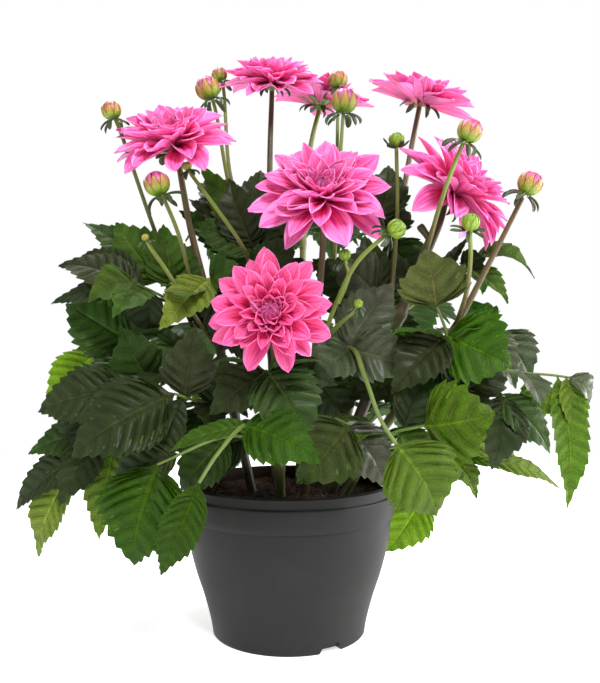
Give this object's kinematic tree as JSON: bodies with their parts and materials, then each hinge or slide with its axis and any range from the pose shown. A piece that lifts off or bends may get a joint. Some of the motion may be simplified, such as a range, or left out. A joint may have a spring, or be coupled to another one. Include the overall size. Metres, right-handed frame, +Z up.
{
  "type": "potted dahlia",
  "caption": "Bushy flowering dahlia with double pink flower heads, buds and compound leaves, growing in soil in a round tapered nursery pot.",
  "frame": {"origin": "middle of the pot's underside, where the pot's axis meets the ground", "axes": "+Z up along the pot's axis, -Y towards the plant's front, +X to the right seen from the front"},
  "size_m": [0.5544, 0.3847, 0.5697],
  "materials": {
    "pot_plastic": "satin moulded plastic",
    "peat_soil": "rough and matte",
    "dark_stem": "satin with a green-brown bark",
    "green_stem": "satin",
    "leaf": "satin with raised veins",
    "petal": "velvety and softly translucent",
    "bud": "satin"
  },
  "bodies": {
    "root": {"nursery_pot": "pot_plastic", "potting_soil": "peat_soil", "stem_left": "dark_stem", "stem_top_left": "dark_stem", "stem_centre": "dark_stem", "stem_front": "green_stem", "stem_back": "green_stem", "stem_top_right": "green_stem", "stem_right": "dark_stem", "stem_side": "green_stem", "bloom_left": "petal", "bloom_top_left": "petal", "bloom_centre": "petal", "bloom_front": "petal", "bloom_back": "petal", "bloom_top_right": "petal", "bloom_right": "petal", "bud_far_left": "bud", "buds_top_left": "bud", "buds_left_low": "bud", "buds_top_middle": "bud", "bud_middle_green": "bud", "bud_right_high": "bud", "buds_right_fork": "bud", "bud_right_far": "bud", "buds_centre_spray": "bud", "leaf_front_left_broad": "leaf", "leaf_left_middle": "leaf", "leaf_left_low": "leaf", "leaf_front_left_low": "leaf", "leaf_front_winged": "leaf", "leaf_front_under_bloom": "leaf", "leaf_front_right_soil": "leaf", "leaf_front_right_winged": "leaf", "leaf_front_right_bright": "leaf", "leaf_right_node": "leaf", "leaf_right_arching": "leaf", "leaf_right_dark": "leaf", "leaf_right_low": "leaf", "leaf_right_pot": "leaf", "leaf_right_upper": "leaf", "leaf_right_grey": "leaf", "leaf_upper_right": "leaf", "leaf_centre_right": "leaf", "leaf_left_upper": "leaf", "leaf_left_side": "leaf", "leaf_left_striped": "leaf", "leaf_left_back_bright": "leaf", "leaf_upper_left": "leaf", "leaf_centre_left": "leaf", "leaf_left_inner": "leaf", "leaf_back_low_left": "leaf", "leaf_back_low_middle": "leaf", "leaf_back_low_right": "leaf", "leaf_back_low_far_right": "leaf", "leaf_back_high_left": "leaf", "leaf_back_high_middle": "leaf", "leaf_back_high_right": "leaf", "leaf_back_top_left": "leaf", "leaf_back_top_middle": "leaf"}
  },
  "joints": []
}
